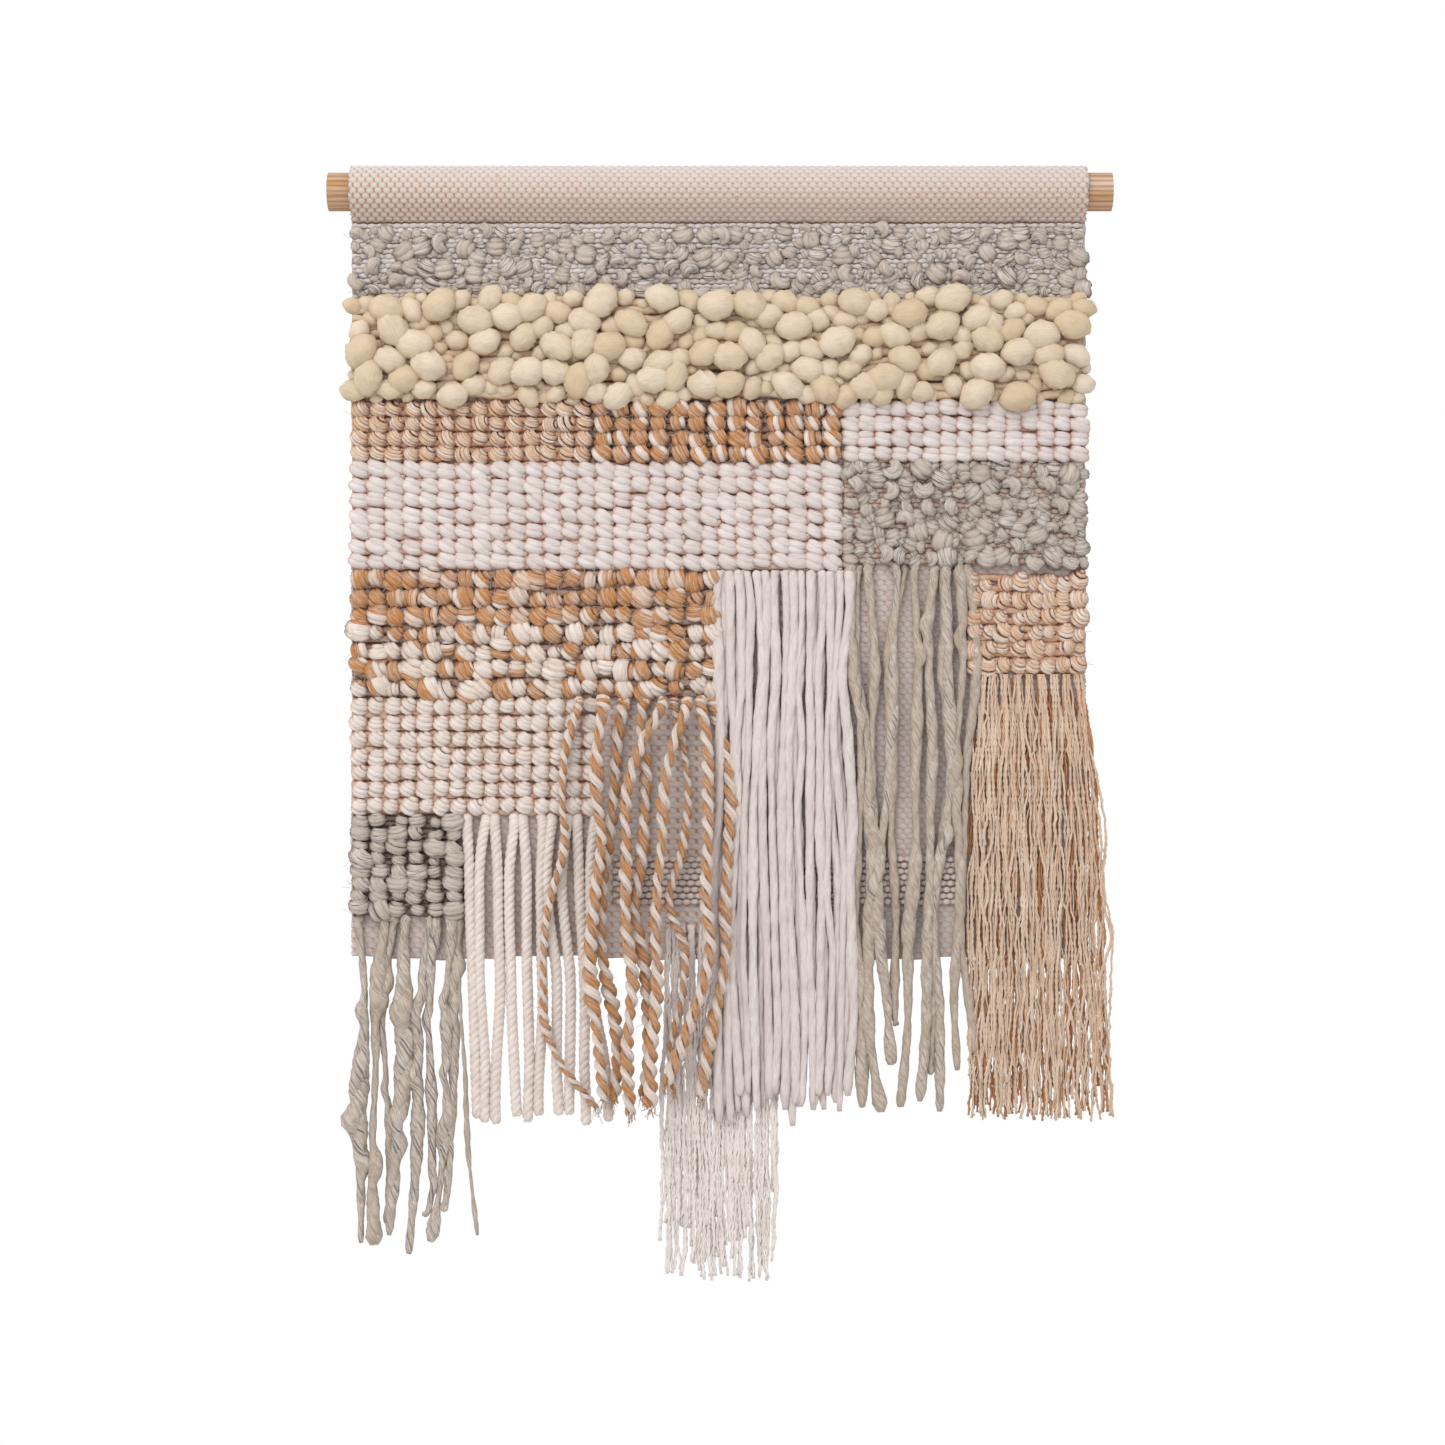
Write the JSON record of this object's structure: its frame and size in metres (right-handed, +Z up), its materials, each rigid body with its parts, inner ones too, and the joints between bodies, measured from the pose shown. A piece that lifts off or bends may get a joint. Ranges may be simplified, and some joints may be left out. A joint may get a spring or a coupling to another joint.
{
  "type": "tapestry wall hanging",
  "caption": "Woven wall hanging of looped and bubbled wool pile on a cotton ground, hung by a sleeve on a wooden dowel, with rope and yarn fringes.",
  "frame": {"origin": "middle of the dowel's axis, between the two wall hooks that hold the dowel up", "axes": "+Z up; +X to the right of a viewer facing the hanging, along the dowel; -Y out of the front, so +Y points at the wall"},
  "size_m": [0.514, 0.0463, 0.7292],
  "materials": {
    "dowel_wood": "oiled pale hardwood",
    "ground_yarn": "plain woven cotton",
    "seam_thread": "waxed cotton thread",
    "grey_wool": "fuzzy boucle wool",
    "cream_wool": "soft wool roving",
    "beige_yarn": "stranded cotton",
    "rust_twist": "two-colour twisted wool",
    "white_yarn": "soft cotton roving",
    "ivory_yarn": "twisted wool rope",
    "fine_cotton": "fine cotton yarn"
  },
  "bodies": {
    "rod": {"dowel": "dowel_wood"},
    "sleeve": {"header_sleeve": "ground_yarn", "sleeve_seam_thread": "seam_thread"},
    "panel": {"ground_cloth": "ground_yarn", "rib_band": "ground_yarn", "grey_loop_band": "grey_wool", "cream_bubble_band": "cream_wool", "beige_loop_block": "beige_yarn", "rust_loop_block": "rust_twist", "white_loop_block": "white_yarn", "white_soumak_band": "white_yarn", "grey_bubble_block": "grey_wool", "rust_loop_band": "rust_twist", "small_loop_block": "beige_yarn", "ivory_loop_block": "ivory_yarn", "grey_foot_block": "grey_wool"},
    "white_fringe": {"white_strand_1": "white_yarn", "white_strand_2": "white_yarn", "white_strand_3": "white_yarn", "white_strand_4": "white_yarn", "white_strand_5": "white_yarn", "white_strand_6": "white_yarn"},
    "rust_fringe": {"rust_rope_1": "rust_twist", "rust_rope_2": "rust_twist", "rust_rope_3": "rust_twist", "rust_rope_4": "rust_twist", "rust_rope_5": "rust_twist", "rust_rope_6": "rust_twist", "rust_rope_7": "rust_twist", "rust_rope_8": "rust_twist", "rust_rope_9": "rust_twist"},
    "ivory_fringe": {"ivory_rope_1": "ivory_yarn", "ivory_rope_2": "ivory_yarn", "ivory_rope_3": "ivory_yarn", "ivory_rope_4": "ivory_yarn", "ivory_rope_5": "ivory_yarn", "ivory_rope_6": "ivory_yarn", "ivory_rope_7": "ivory_yarn", "ivory_rope_8": "ivory_yarn", "ivory_rope_9": "ivory_yarn", "ivory_rope_10": "ivory_yarn"},
    "fine_fringe": {"fine_tuft_1": "fine_cotton", "fine_tuft_2": "fine_cotton"},
    "grey_fringe": {"grey_slub_1": "grey_wool", "grey_slub_2": "grey_wool", "grey_slub_3": "grey_wool", "grey_slub_4": "grey_wool", "grey_slub_5": "grey_wool", "grey_slub_6": "grey_wool", "grey_slub_7": "grey_wool"},
    "beige_fringe": {"beige_tuft_1": "beige_yarn", "beige_tuft_2": "beige_yarn", "beige_tuft_3": "beige_yarn"},
    "tail_fringe": {"grey_tail_1": "grey_wool", "grey_tail_2": "grey_wool", "grey_tail_3": "grey_wool", "grey_tail_4": "grey_wool", "grey_tail_5": "grey_wool", "grey_tail_6": "grey_wool"}
  },
  "joints": [
    {"name": "sleeve_slide", "type": "slide", "parent": "rod", "child": "sleeve", "axis": [1, 0, 0], "range_m": [-0.012, 0.012]},
    {"name": "panel_swing", "type": "hinge", "parent": "sleeve", "child": "panel", "pos_m": [0, 0, -0.0218], "axis": [-1, 0, 0], "range_deg": [0, 40]},
    {"name": "white_fringe_swing", "type": "hinge", "parent": "panel", "child": "white_fringe", "pos_m": [0, -0.0015, -0.249], "axis": [-1, 0, 0], "range_deg": [0, 35]},
    {"name": "rust_fringe_swing", "type": "hinge", "parent": "panel", "child": "rust_fringe", "pos_m": [0, -0.0015, -0.332], "axis": [-1, 0, 0], "range_deg": [0, 35]},
    {"name": "ivory_fringe_swing", "type": "hinge", "parent": "panel", "child": "ivory_fringe", "pos_m": [0, -0.0015, -0.409], "axis": [-1, 0, 0], "range_deg": [0, 35]},
    {"name": "fine_fringe_swing", "type": "hinge", "parent": "panel", "child": "fine_fringe", "pos_m": [0, -0.0015, -0.468], "axis": [-1, 0, 0], "range_deg": [0, 35]},
    {"name": "grey_fringe_swing", "type": "hinge", "parent": "panel", "child": "grey_fringe", "pos_m": [0, -0.0015, -0.245], "axis": [-1, 0, 0], "range_deg": [0, 35]},
    {"name": "beige_fringe_swing", "type": "hinge", "parent": "panel", "child": "beige_fringe", "pos_m": [0, -0.0015, -0.317], "axis": [-1, 0, 0], "range_deg": [0, 35]},
    {"name": "tail_fringe_swing", "type": "hinge", "parent": "panel", "child": "tail_fringe", "pos_m": [0, -0.0015, -0.475], "axis": [-1, 0, 0], "range_deg": [0, 35]}
  ],
  "couplings": [
    {"joint": "rust_fringe_swing", "follows": "white_fringe_swing", "ratio": 1},
    {"joint": "ivory_fringe_swing", "follows": "white_fringe_swing", "ratio": 1},
    {"joint": "fine_fringe_swing", "follows": "white_fringe_swing", "ratio": 1},
    {"joint": "beige_fringe_swing", "follows": "grey_fringe_swing", "ratio": 1}
  ]
}
